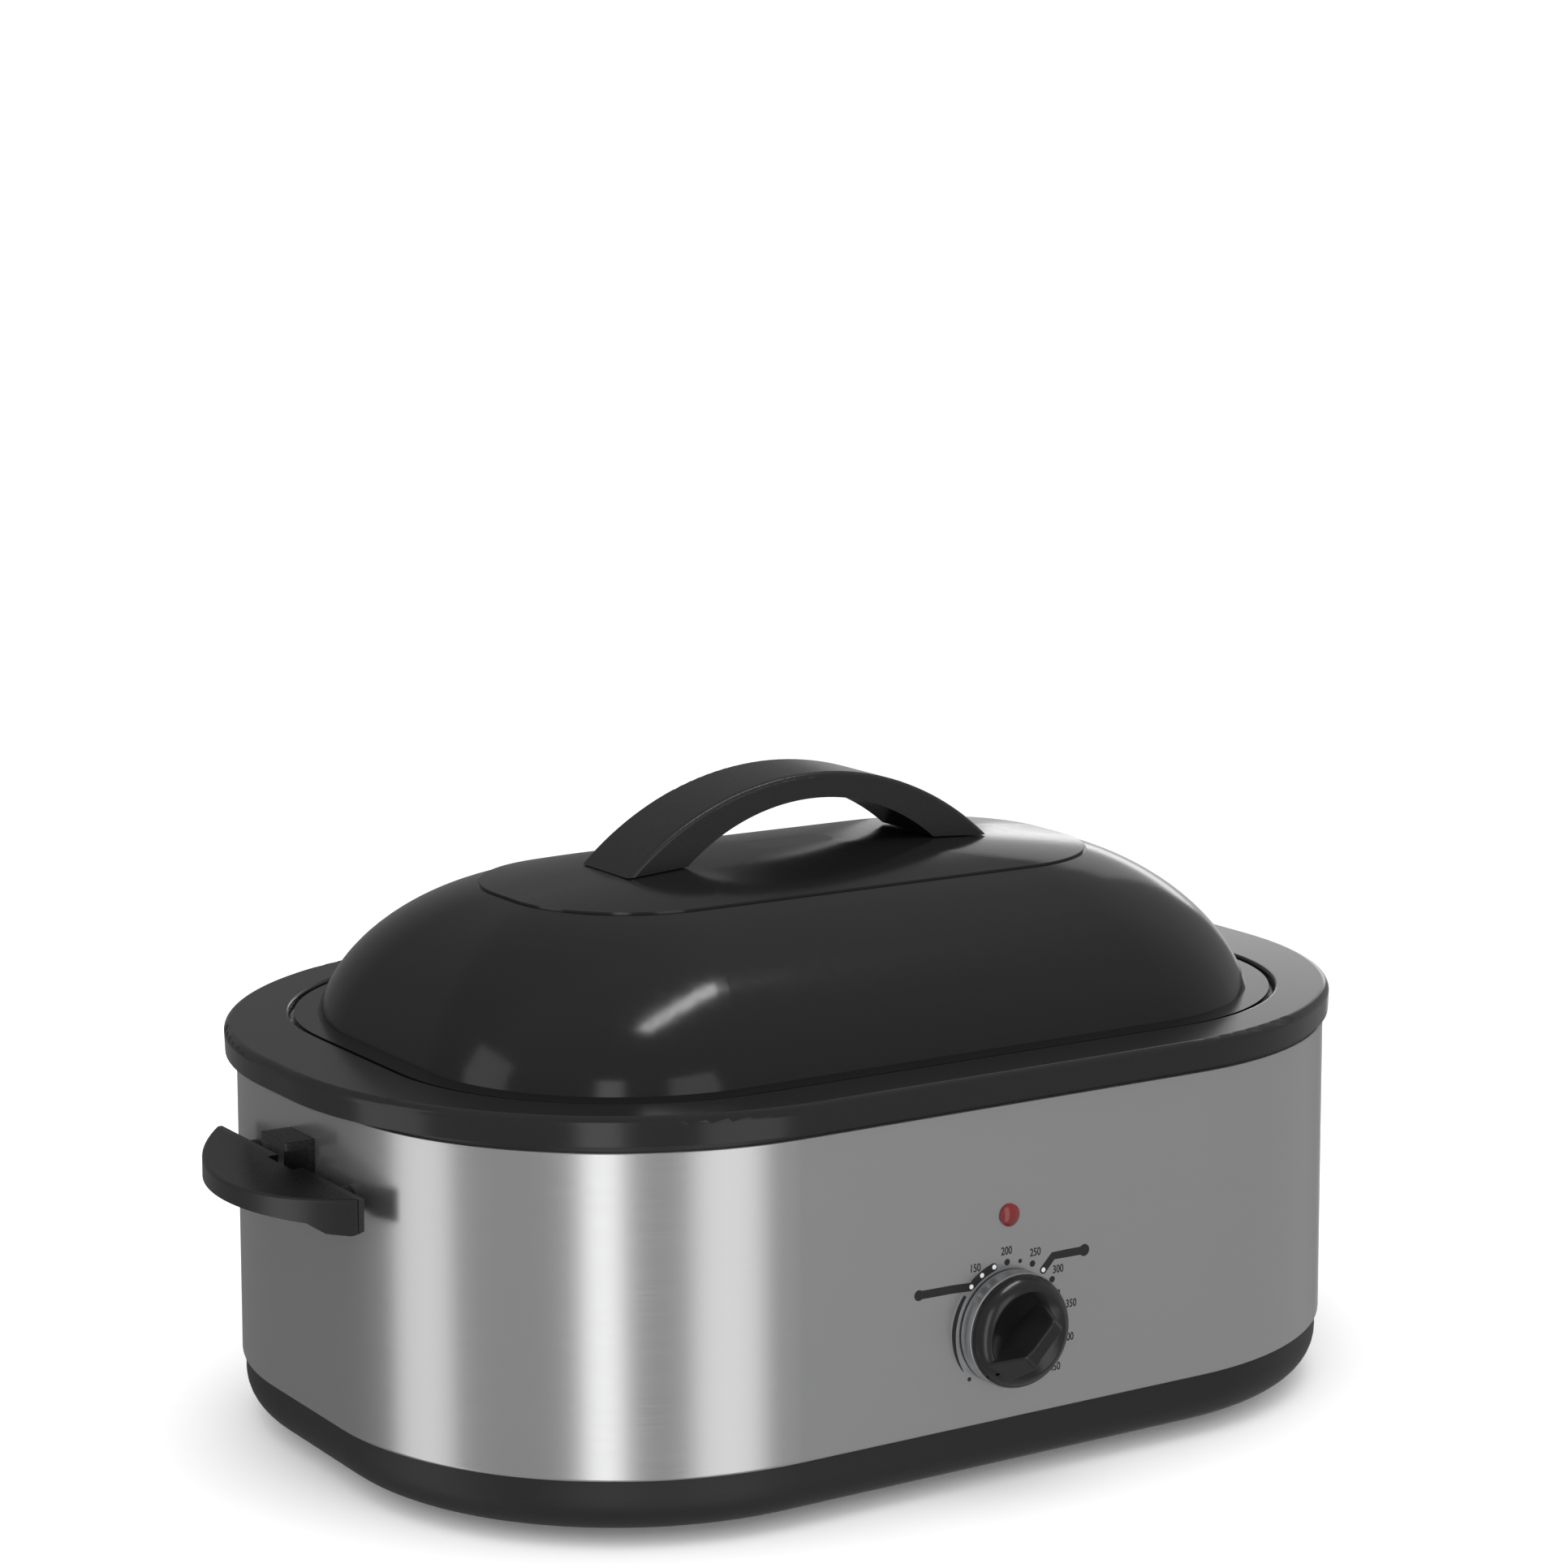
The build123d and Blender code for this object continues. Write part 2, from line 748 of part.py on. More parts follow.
with BuildPart() as rack_handle_right:
    arm_start = eye_point(eye_end, 0)
    knee_x = rack_end - bail_knee_reach
    knee_z = arm_start[2] + (arm_start[0] - knee_x) * tan(radians(bail_rise))
    bar_x = rack_end - bail_bar_reach
    bar_z = rack_high + bail_bar_rise
    with BuildLine() as bail:
        for y in (bail_span / 2, -bail_span / 2):
            ThreePointArc(*[eye_point(a, y) for a in (eye_start, (eye_start + eye_end) / 2, eye_end)])
        FilletPolyline(
            eye_point(eye_end, bail_span / 2),
            (knee_x, bail_span / 2, knee_z),
            (bar_x, bail_bar_length / 2, bar_z),
            (bar_x, -bail_bar_length / 2, bar_z),
            (knee_x, -bail_span / 2, knee_z),
            eye_point(eye_end, -bail_span / 2),
            radius=(bail_knee_bend, bail_bar_bend, bail_bar_bend, bail_knee_bend),
        )
    wire_along(bail.wire(), frame_wire)
finish(rack_handle_right, "rack_handle_right")

with BuildPart() as rack_handle_left:
    mirror(rack_handle_right.part, about=Plane.YZ)
finish(rack_handle_left, "rack_handle_left")

# ================= knob, thermostat and lamp =================

min_way = (sin(radians(knob_min_angle)), 0, cos(radians(knob_min_angle)))
knob_axis = Axis((0, front, dial_height), (0, -1, 0))
# across a section X is the radius and Y the distance out from the casing
knob_section = Plane(origin=(0, front, dial_height), x_dir=(1, 0, 0), z_dir=(0, 0, -1))
lamp_section = Plane(origin=(0, front, lamp_height), x_dir=(1, 0, 0), z_dir=(0, 0, -1))
grip_plane = Plane(origin=(0, front, dial_height), x_dir=min_way, z_dir=(0, -1, 0))
# along the grip: X towards its pointer end and Y the distance out from the casing
grip_side = Plane(origin=(0, front, dial_height), x_dir=min_way, z_dir=(min_way[2], 0, -min_way[0]))
knob_under = knob_gap + knob_ring_height + seat_gap
spigot_radius = knob_ring_radius - knob_ring_wall - seat_gap

knob_dish_radius = knob_rim_radius - knob_rim_land
knob_dish_floor = knob_rim_height - knob_dish_depth
grip_tail = knob_radius - grip_tail_margin
grip_root = (knob_under + knob_dish_floor) / 2
tail_slope = Vector(grip_tail - grip_ridge_front, grip_tail_level - grip_height).normalized()
tail_inward = Vector(tail_slope.Y, -tail_slope.X)

with BuildPart() as grip:
    with BuildSketch(grip_plane.offset(grip_root)):
        with BuildLine():
            Polyline(
                (-grip_foot_back, -grip_width / 2),
                (grip_flare_start, -grip_width / 2),
                (grip_tail, -grip_tail_width / 2),
                (grip_tail, grip_tail_width / 2),
                (grip_flare_start, grip_width / 2),
                (-grip_foot_back, grip_width / 2),
                close=True,
            )
        make_face()
    extrude(amount=grip_height - grip_root, taper=grip_taper)
    with BuildSketch(grip_side):
        with BuildLine():
            Polyline(
                (-grip_foot_back, grip_root),
                (-grip_ridge_back, grip_height),
                (grip_ridge_front, grip_height),
                (grip_tail, grip_tail_level),
                (grip_tail, grip_root),
                close=True,
            )
        make_face()
        fillet(vertices().group_by(Axis.Y)[-1], grip_bend)
    extrude(amount=grip_tail_width, both=True, mode=Mode.INTERSECT)
    with BuildSketch(grip_plane.offset(grip_root)):
        Circle(grip_tail)
    extrude(amount=grip_height - grip_root, mode=Mode.INTERSECT)
    above_rim = (front - grip_height - seat_gap, front - knob_rim_height)
    fillet(grip.edges().filter_by_position(Axis.Y, *above_rim), knob_edge)

with BuildPart() as knob:
    with BuildSketch(knob_section):
        with BuildLine():
            shoulder = (knob_radius, knob_under + knob_side)
            dish_edge = (knob_dish_radius, knob_rim_height)
            Polyline((0, knob_dish_floor), (0, knob_under), (knob_radius, knob_under), shoulder)
            RadiusArc(shoulder, (knob_rim_radius, knob_rim_height), -knob_shoulder_radius)
            Line((knob_rim_radius, knob_rim_height), dish_edge)
            dish_curve = (knob_dish_radius**2 + knob_dish_depth**2) / (2 * knob_dish_depth)
            RadiusArc(dish_edge, (0, knob_dish_floor), dish_curve)
        make_face()
    revolve(axis=knob_axis)
    add(grip.part)
    # spigot for the ring, hub for the shaft
    with BuildSketch(grip_plane.offset(knob_under - knob_spigot)):
        Circle(spigot_radius)
        Circle(spigot_radius - knob_spigot_wall, mode=Mode.SUBTRACT)
    extrude(amount=knob_spigot)
    with BuildSketch(grip_plane.offset(knob_gap)):
        Circle(knob_hub_radius)
    extrude(amount=knob_under - knob_gap)
    with BuildSketch(grip_plane.offset(knob_gap)):
        Circle(shaft_radius + shaft_play)
        with Locations((shaft_flat + shaft_play + shaft_radius, 0)):
            Rectangle(2 * shaft_radius, 4 * shaft_radius, mode=Mode.SUBTRACT)
    extrude(amount=knob_socket, mode=Mode.SUBTRACT)
    # pointer groove down the grip's tail
    with BuildSketch(grip_side):
        with BuildLine():
            tail_end = Vector(grip_tail, grip_tail_level)
            Polyline(
                tail_end + tail_slope * pointer_depth - tail_inward * pointer_depth,
                tail_end + tail_slope * pointer_depth + tail_inward * pointer_depth,
                tail_end - tail_slope * pointer_length + tail_inward * pointer_depth,
                tail_end - tail_slope * pointer_length - tail_inward * pointer_depth,
                close=True,
            )
        make_face()
    extrude(amount=pointer_width / 2, both=True, mode=Mode.SUBTRACT)
finish(knob, "knob")

with BuildPart() as knob_ring:
    with BuildSketch(grip_plane.offset(knob_gap)):
        Circle(knob_ring_radius)
        Circle(knob_ring_radius - knob_ring_wall, mode=Mode.SUBTRACT)
    extrude(amount=knob_ring_height)
    fillet(knob_ring.edges().group_by(Axis.Y)[0].sort_by(SortBy.RADIUS)[-1], knob_edge)
finish(knob_ring, "knob_ring")

thermostat_face = -(wrap_sheet + casing_gap)

with BuildPart() as thermostat_shaft:
    with BuildSketch(grip_plane.offset(thermostat_face - shaft_depth)):
        Circle(shaft_radius)
        with Locations((shaft_flat + shaft_radius, 0)):
            Rectangle(2 * shaft_radius, 4 * shaft_radius, mode=Mode.SUBTRACT)
    extrude(amount=knob_gap + knob_socket - seat_gap - thermostat_face + shaft_depth)
finish(thermostat_shaft, "thermostat_shaft")

with BuildPart() as thermostat_body:
    with BuildSketch(dial_plane.offset(thermostat_face)):
        Rectangle(thermostat_width, thermostat_height)
    extrude(amount=-thermostat_depth)
    fillet(thermostat_body.edges().filter_by(Axis.Y), knob_edge)
    with BuildSketch(dial_plane.offset(thermostat_face)):
        Circle(bushing_radius)
    extrude(amount=bushing_stand - thermostat_face)
    with BuildSketch(dial_plane.offset(bushing_stand)):
        Circle(shaft_radius + shaft_play)
    extrude(amount=-(bushing_stand - thermostat_face + shaft_depth + seat_gap), mode=Mode.SUBTRACT)
finish(thermostat_body, "thermostat_body")

lens_curve = (lens_radius**2 + lens_dome**2) / (2 * lens_dome)

with BuildPart() as indicator_lens:
    with BuildSketch(lamp_section):
        with BuildLine():
            Polyline((0, -lens_depth), (lens_neck, -lens_depth), (lens_neck, seat_gap))
            Polyline((lens_neck, seat_gap), (lens_radius, seat_gap), (lens_radius, lens_rim))
            RadiusArc((lens_radius, lens_rim), (0, lens_rim + lens_dome), -lens_curve)
            Line((0, lens_rim + lens_dome), (0, -lens_depth))
        make_face()
    revolve(axis=Axis((0, front, lamp_height), (0, -1, 0)))
finish(indicator_lens, "indicator_lens")

with BuildPart() as indicator_lamp:
    with BuildSketch(lamp_plane.offset(thermostat_face)):
        Circle(lens_neck + hole_play + lamp_wall)
    extrude(amount=-lamp_depth)
    with BuildSketch(lamp_plane.offset(thermostat_face)):
        Circle(lens_neck + hole_play)
    extrude(amount=-(lens_depth + thermostat_face + seat_gap), mode=Mode.SUBTRACT)
finish(indicator_lamp, "indicator_lamp")

# ================= rear inlet =================

with BuildPart() as cord_gland:
    with BuildSketch(gland_plane.offset(seat_gap)):
        Circle(gland_flange)
    extrude(amount=gland_flange_height)
    fillet(cord_gland.edges().group_by(Axis.Y)[-1], knob_edge)
    with BuildSketch(gland_plane.offset(seat_gap)):
        Circle(gland_neck)
    extrude(amount=-gland_depth)
    with BuildSketch(gland_plane.offset(-wrap_sheet - seat_gap)):
        Circle(gland_neck + gland_barb)
    extrude(amount=-gland_barb_length, taper=10)
    with BuildSketch(gland_plane.offset(seat_gap + gland_flange_height)):
        Circle(gland_bore)
    extrude(amount=-(gland_flange_height + gland_depth), mode=Mode.SUBTRACT)
finish(cord_gland, "cord_gland")

terminal_plane = Plane(
    origin=(terminal_x, back - wrap_sheet - casing_gap, gland_height), x_dir=(1, 0, 0), z_dir=(0, 1, 0)
)

with BuildPart() as terminal_block:
    with BuildSketch(terminal_plane):
        Rectangle(terminal_length, terminal_height)
    extrude(amount=-terminal_depth)
    with BuildSketch(terminal_plane.offset(-terminal_depth)):
        with GridLocations(terminal_length / terminal_screws, 0, terminal_screws, 1):
            Circle(screw_radius)
    extrude(amount=terminal_depth / 2, mode=Mode.SUBTRACT)
finish(terminal_block, "terminal_block")

# ================= side handles =================

handle_face = end + handle_stand
strip_face = handle_face - handle_wall
handle_half = handle_length / 2
handle_top = handle_base + handle_height
hook_half = hook_width / 2
hook_top = handle_base + hook_height


def casing_end(y):
    """Where the casing's +X end stands at a distance from its middle."""
    past_flat = max(y - (back - body_corner), 0)
    return end - body_corner + sqrt(body_corner**2 - past_flat**2)


with BuildPart() as side_handle_right:
    with BuildSketch(Plane.XY.offset(handle_base - handle_lug_drop)):
        with BuildLine():
            tip = (handle_face + handle_reach, 0)
            ThreePointArc((handle_face, -handle_half), tip, (handle_face, handle_half))
            Line((handle_face, handle_half), (handle_face, -handle_half))
        make_face()
        with Locations((handle_face - handle_wall / 2, 0)):
            Rectangle(handle_wall, handle_length)
    extrude(amount=handle_lug_drop + handle_height)
    # the top falls away outwards
    with BuildSketch(Plane.XZ):
        with BuildLine():
            fall = handle_slope_drop / handle_reach * (handle_reach + handle_wall)
            Polyline(
                (handle_face, handle_top),
                (handle_face + handle_reach + handle_wall, handle_top - fall),
                (handle_face + handle_reach + handle_wall, handle_top + handle_wall),
                (handle_face, handle_top + handle_wall),
                close=True,
            )
        make_face()
    extrude(amount=handle_half, both=True, mode=Mode.SUBTRACT)
    top_faces = side_handle_right.faces().sort_by(Axis.Z)[-2:]
    fillet(top_faces.edges().filter_by(GeomType.LINE, reverse=True), handle_edge)
    # only the ends reach down as lugs
    lug_y = handle_half - handle_lug
    with BuildSketch(Plane.YZ.offset(strip_face)):
        with BuildLine():
            Polyline(
                (-lug_y, handle_base - handle_lug_drop),
                (lug_y, handle_base - handle_lug_drop),
                (lug_y - handle_lug_slope, handle_base),
                (handle_lug_slope - lug_y, handle_base),
                close=True,
            )
        make_face()
    extrude(amount=handle_wall + handle_reach, mode=Mode.SUBTRACT)
    # the lugs rise again towards the casing
    with BuildSketch(Plane.XZ):
        with BuildLine():
            lug_bottom = handle_base - handle_lug_drop
            Polyline(
                (strip_face, lug_bottom),
                (strip_face + handle_lug_lift_run, lug_bottom),
                (strip_face, lug_bottom + handle_lug_lift),
                close=True,
            )
        make_face()
    extrude(amount=handle_half, both=True, mode=Mode.SUBTRACT)
    # a groove up each end, where the mounting strip meets the grip
    with BuildSketch(Plane.XY.offset(lug_bottom)):
        with Locations((handle_face, -handle_half), (handle_face, handle_half)):
            Rectangle(handle_end_groove, 2 * handle_end_groove_depth)
    extrude(amount=handle_top - lug_bottom, mode=Mode.SUBTRACT)
    # hollow from below
    with BuildSketch(Plane.XY.offset(handle_base)):
        with BuildLine():
            hollow_half = lug_y - handle_lug_slope
            hollow_tip = (handle_face + handle_reach - handle_wall, 0)
            ThreePointArc((handle_face, -hollow_half), hollow_tip, (handle_face, hollow_half))
            Line((handle_face, hollow_half), (handle_face, -hollow_half))
        make_face()
    extrude(amount=handle_height - handle_slope_drop - handle_plate, mode=Mode.SUBTRACT)
    # bosses that reach to the casing, and the notch behind the hanger
    boss_start = casing_end(handle_boss_y - handle_boss_radius) + seat_gap
    with BuildSketch(Plane.YZ.offset(boss_start)):
        with Locations(*handle_boss_spots):
            Circle(handle_boss_radius)
    extrude(amount=strip_face - boss_start)
    with BuildSketch(Plane.YZ.offset(boss_start)):
        with Locations(*handle_boss_spots):
            Circle(screw_radius + screw_play)
    extrude(amount=boss_screw_length, mode=Mode.SUBTRACT)
    with BuildSketch(Plane.XY.offset(handle_top)):
        with Locations((strip_face + handle_notch_depth / 2, 0)):
            Rectangle(handle_notch_depth, hook_width + 2 * hole_play)
    extrude(amount=handle_notch_rise - handle_height, mode=Mode.SUBTRACT)
finish(side_handle_right, "side_handle_right")

with BuildPart() as side_handle_left:
    mirror(side_handle_right.part, about=Plane.YZ)
finish(side_handle_left, "side_handle_left")

with BuildPart() as lid_hook_right:
    with BuildSketch(Plane.XZ):
        with BuildLine():
            plate_in = end + seat_gap
            plate_out = plate_in + hook_plate
            shelf_out = strip_face - seat_gap
            shelf_top = handle_base + hook_shelf_height
            Polyline(
                (plate_in, handle_base),
                (shelf_out, handle_base),
                (shelf_out, shelf_top),
                (plate_out, shelf_top),
                (plate_out, hook_top - hook_cap),
                (end + hook_cap_reach, hook_top - hook_cap),
                (end + hook_cap_reach, hook_top),
                (plate_in, hook_top),
                close=True,
            )
        make_face()
    extrude(amount=hook_half, both=True)
    fillet(lid_hook_right.edges().group_by(Axis.X)[-1].filter_by(Axis.Z), knob_edge)
    fillet(lid_hook_right.faces().sort_by(Axis.Z)[-1].edges(), knob_edge / 2)
    with BuildSketch(Plane.YZ.offset(plate_in)):
        with Locations(*hook_screw_spots):
            Circle(screw_radius + screw_play)
    extrude(amount=hook_screw_depth, mode=Mode.SUBTRACT)
finish(lid_hook_right, "lid_hook_right")

with BuildPart() as lid_hook_left:
    mirror(lid_hook_right.part, about=Plane.YZ)
finish(lid_hook_left, "lid_hook_left")


def side_screws(spots, inner_face, length):
    """Screws through the casing's two ends, heads inside it."""
    for x_way in (1, -1):
        seat = x_way * (inner_face - seat_gap)
        head_plane = Plane(origin=(seat, 0, 0), x_dir=(0, 1, 0), z_dir=(x_way, 0, 0))
        for radius, reach in ((screw_head_radius, -screw_head_height), (screw_radius, length)):
            with BuildSketch(head_plane) as discs:
                with Locations(*[(y, z * x_way) for y, z in spots]):
                    Circle(radius)
            extrude(discs.sketch, amount=reach)


with BuildPart() as handle_screws:
    inner_face = casing_end(handle_boss_y + screw_head_radius) - wrap_sheet
    side_screws(handle_boss_spots, inner_face, boss_screw_length)
finish(handle_screws, "handle_screws")

with BuildPart() as hook_screws:
    side_screws(hook_screw_spots, end - wrap_sheet, wrap_sheet + seat_gap + hook_screw_depth)
finish(hook_screws, "hook_screws")
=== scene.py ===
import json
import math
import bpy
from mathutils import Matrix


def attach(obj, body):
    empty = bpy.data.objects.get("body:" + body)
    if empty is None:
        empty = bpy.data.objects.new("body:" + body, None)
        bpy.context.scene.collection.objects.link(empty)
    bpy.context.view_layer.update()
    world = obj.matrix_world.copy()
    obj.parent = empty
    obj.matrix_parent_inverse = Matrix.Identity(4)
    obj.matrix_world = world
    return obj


bl_info = {
    "name": "Electric Roaster Oven",
    "version": (1, 0, 0),
    "blender": (4, 5, 0),
    "location": "View3D > Sidebar > Roaster",
    "description": "Finishes, dial printing and studio for the electric roaster oven",
    "category": "Object",
}

import bmesh
import bpy
from bpy.props import FloatProperty, FloatVectorProperty, PointerProperty
from mathutils import Euler, Quaternion, Vector

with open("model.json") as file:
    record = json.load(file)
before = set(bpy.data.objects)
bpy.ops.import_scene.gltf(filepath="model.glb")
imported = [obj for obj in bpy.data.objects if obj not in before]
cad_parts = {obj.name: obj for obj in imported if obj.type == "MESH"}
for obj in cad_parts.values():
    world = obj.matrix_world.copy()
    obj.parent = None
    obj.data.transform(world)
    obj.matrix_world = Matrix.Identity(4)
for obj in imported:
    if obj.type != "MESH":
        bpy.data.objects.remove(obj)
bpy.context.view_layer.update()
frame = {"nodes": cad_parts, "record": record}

MM = 0.001
WHITE = (1, 1, 1, 1)


# ------------------------------------------------------------------ colours


def srgb(code):
    """Linear RGB of an sRGB hex colour such as "#202020"."""
    values = [int(code[i : i + 2], 16) / 255 for i in (1, 3, 5)]
    return tuple(v / 12.92 if v <= 0.04045 else ((v + 0.055) / 1.055) ** 2.4 for v in values)


# ----------------------------------------------------------------- settings


class RoasterSettings(bpy.types.PropertyGroup):
    """Sizes and colours that the panel offers."""

    dial_radius: FloatProperty(
        name="Dial Radius",
        description="Radius of the circle of dots around the knob",
        default=28.8 * MM,
        min=0.0,
        unit="LENGTH",
    )
    number_radius: FloatProperty(
        name="Number Radius",
        description="Radius on which the dial's numbers are centred",
        default=33.8 * MM,
        min=0.0,
        unit="LENGTH",
    )
    number_size: FloatProperty(
        name="Number Size",
        description="Font size of the dial's numbers",
        default=5.0 * MM,
        min=0.0,
        unit="LENGTH",
    )
    print_thickness: FloatProperty(
        name="Print Thickness",
        description="How far the printed ink stands off the steel",
        default=0.08 * MM,
        min=0.0,
        unit="LENGTH",
    )
    steel_colour: FloatVectorProperty(
        name="Steel",
        description="Colour of the brushed steel band",
        default=srgb("#b8b8b9"),
        subtype="COLOR",
        min=0.0,
        max=1.0,
    )
    enamel_colour: FloatVectorProperty(
        name="Enamel",
        description="Colour of the lid's black enamel",
        default=srgb("#131313"),
        subtype="COLOR",
        min=0.0,
        max=1.0,
    )
    plastic_colour: FloatVectorProperty(
        name="Plastic",
        description="Colour of the moulded tray, handles and hook blocks, and of the painted trim",
        default=srgb("#141414"),
        subtype="COLOR",
        min=0.0,
        max=1.0,
    )
    ink_colour: FloatVectorProperty(
        name="Ink",
        description="Colour of the dial's black printing",
        default=srgb("#141414"),
        subtype="COLOR",
        min=0.0,
        max=1.0,
    )
    lens_colour: FloatVectorProperty(
        name="Lens",
        description="Colour of the pilot lamp's lens",
        default=srgb("#681818"),
        subtype="COLOR",
        min=0.0,
        max=1.0,
    )


# ---------------------------------------------------------------- materials

NOISE_LOW, NOISE_HIGH = 0.3, 0.7  # nearly all of a noise's values lie between these


def add(tree, kind, inputs=None, **settings):
    """Add a node of a kind with its settings, and give its inputs, by name or number, their values.

    An output given as a value is linked to that input."""
    node = tree.nodes.new(kind)
    for key, value in settings.items():
        setattr(node, key, value)
    for key, value in (inputs or {}).items():
        if isinstance(value, bpy.types.NodeSocket):
            tree.links.new(value, node.inputs[key])
        else:
            node.inputs[key].default_value = value
    return node


def finish_of(name, colour, rough, grain, change, relief, sockets=None):
    """A finish whose colour, roughness and relief all follow one noise.

    rough is the lowest and the highest roughness, grain the size (x, y, z) of the noise's grains in
    millimetres, change the share by which the colour darkens and lightens, and relief the height in
    millimetres. sockets holds the shader's other values."""
    finish = bpy.data.materials.new(name)
    finish.use_nodes = True
    tree = finish.node_tree
    shader = tree.nodes["Principled BSDF"]
    for key, value in (sockets or {}).items():
        shader.inputs[key].default_value = value

    place = add(tree, "ShaderNodeTexCoord")
    scale = add(
        tree,
        "ShaderNodeMapping",
        {"Vector": place.outputs["Object"], "Scale": [1 / (size * MM) for size in grain]},
    )
    noise = add(
        tree,
        "ShaderNodeTexNoise",
        {"Vector": scale.outputs["Vector"], "Scale": 1.0, "Detail": 3.0, "Roughness": 0.55},
    )
    pattern = noise.outputs["Fac"]
    tint = add(
        tree,
        "ShaderNodeMix",
        {
            "Factor": pattern,
            "A": (*[c * (1 - change) for c in colour], 1),
            "B": (*[min(1, c * (1 + change)) for c in colour], 1),
        },
        data_type="RGBA",
        blend_type="MIX",
    )
    gloss = add(
        tree,
        "ShaderNodeMapRange",
        {
            "Value": pattern,
            "From Min": NOISE_LOW,
            "From Max": NOISE_HIGH,
            "To Min": rough[0],
            "To Max": rough[1],
        },
    )
    bump = add(
        tree,
        "ShaderNodeBump",
        {"Height": pattern, "Strength": 0.6, "Distance": relief * MM},
    )
    tree.links.new(tint.outputs["Result"], shader.inputs["Base Color"])
    tree.links.new(gloss.outputs["Result"], shader.inputs["Roughness"])
    tree.links.new(bump.outputs["Normal"], shader.inputs["Normal"])
    return finish


